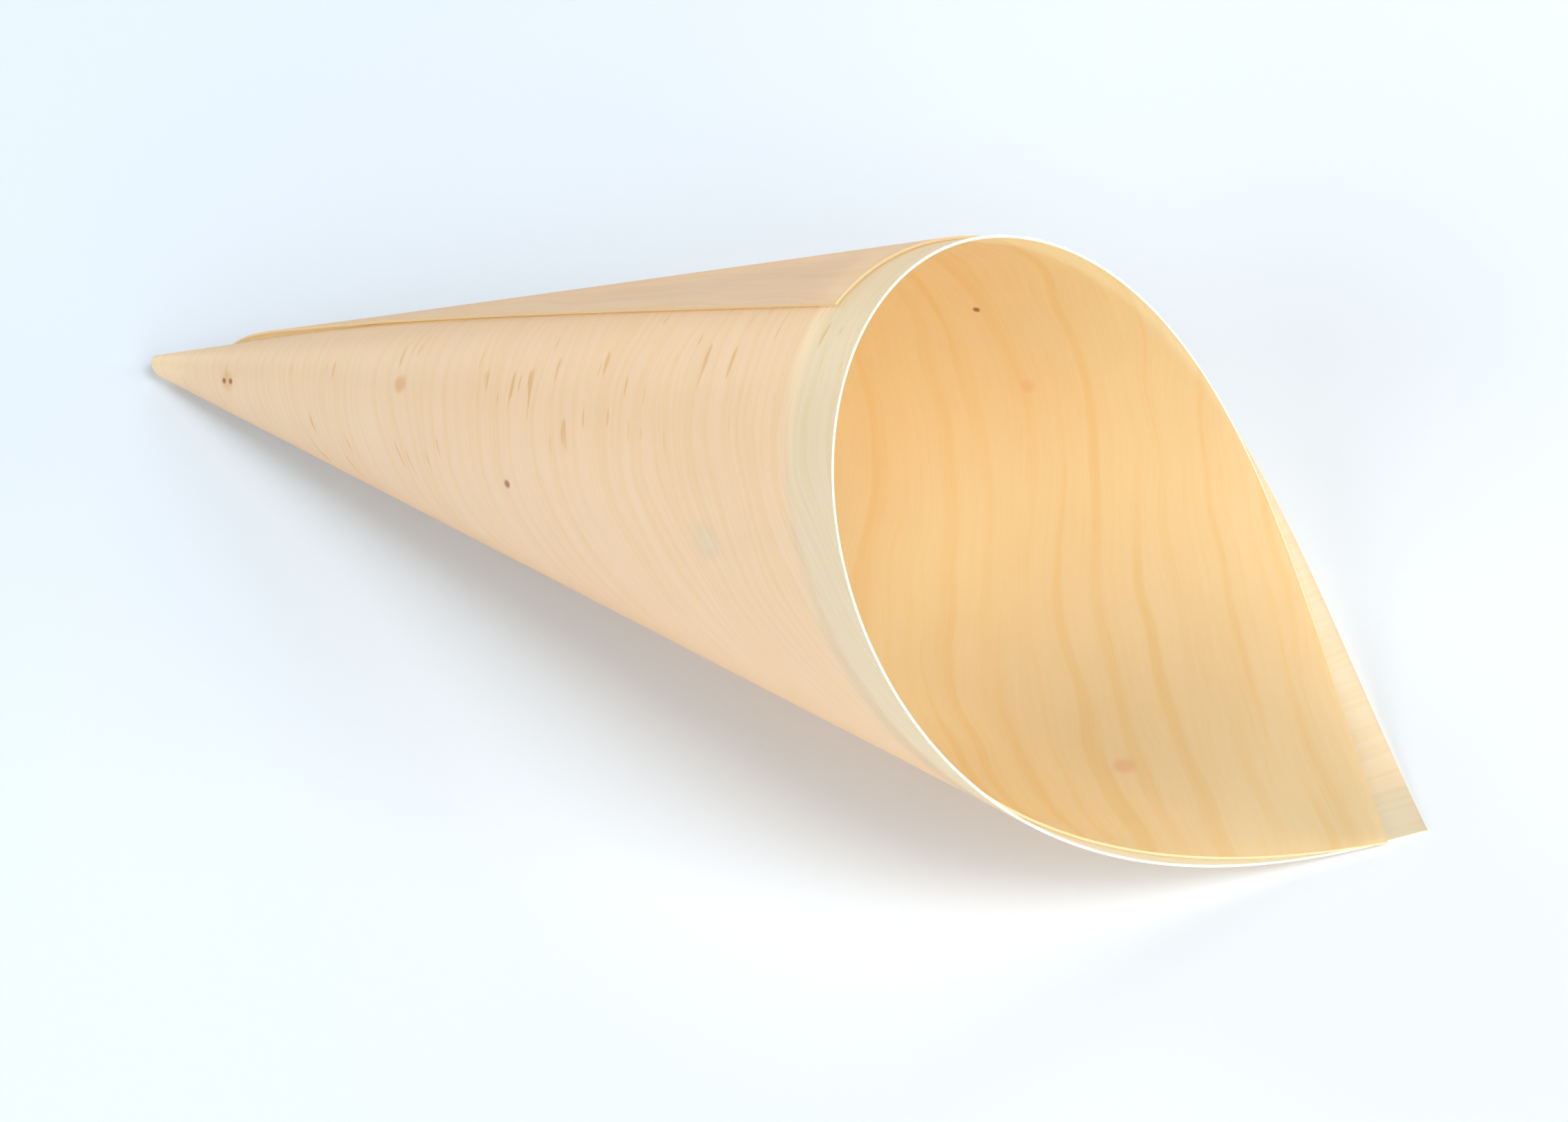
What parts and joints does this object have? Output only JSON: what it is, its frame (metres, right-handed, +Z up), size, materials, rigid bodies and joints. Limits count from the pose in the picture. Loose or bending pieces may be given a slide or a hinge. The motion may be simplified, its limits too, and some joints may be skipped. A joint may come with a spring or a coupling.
{
  "type": "wood veneer serving cone",
  "caption": "Open cone rolled from one sheet of thin pale wood veneer, with a slanted mouth and a pointed lip, for holding snacks; it lies on its side.",
  "frame": {"origin": "centre of the bounding box at its bottom, on the table that the cone lies on", "axes": "+X from the tip to the pointed lip along the side it rests on, +Z up, +Y to the left seen from the tip"},
  "size_m": [0.1762, 0.0664, 0.0607],
  "materials": {
    "veneer": "bare pale pine veneer, planed smooth, matt"
  },
  "bodies": {
    "root": {"veneer_cone": "veneer"}
  },
  "joints": []
}
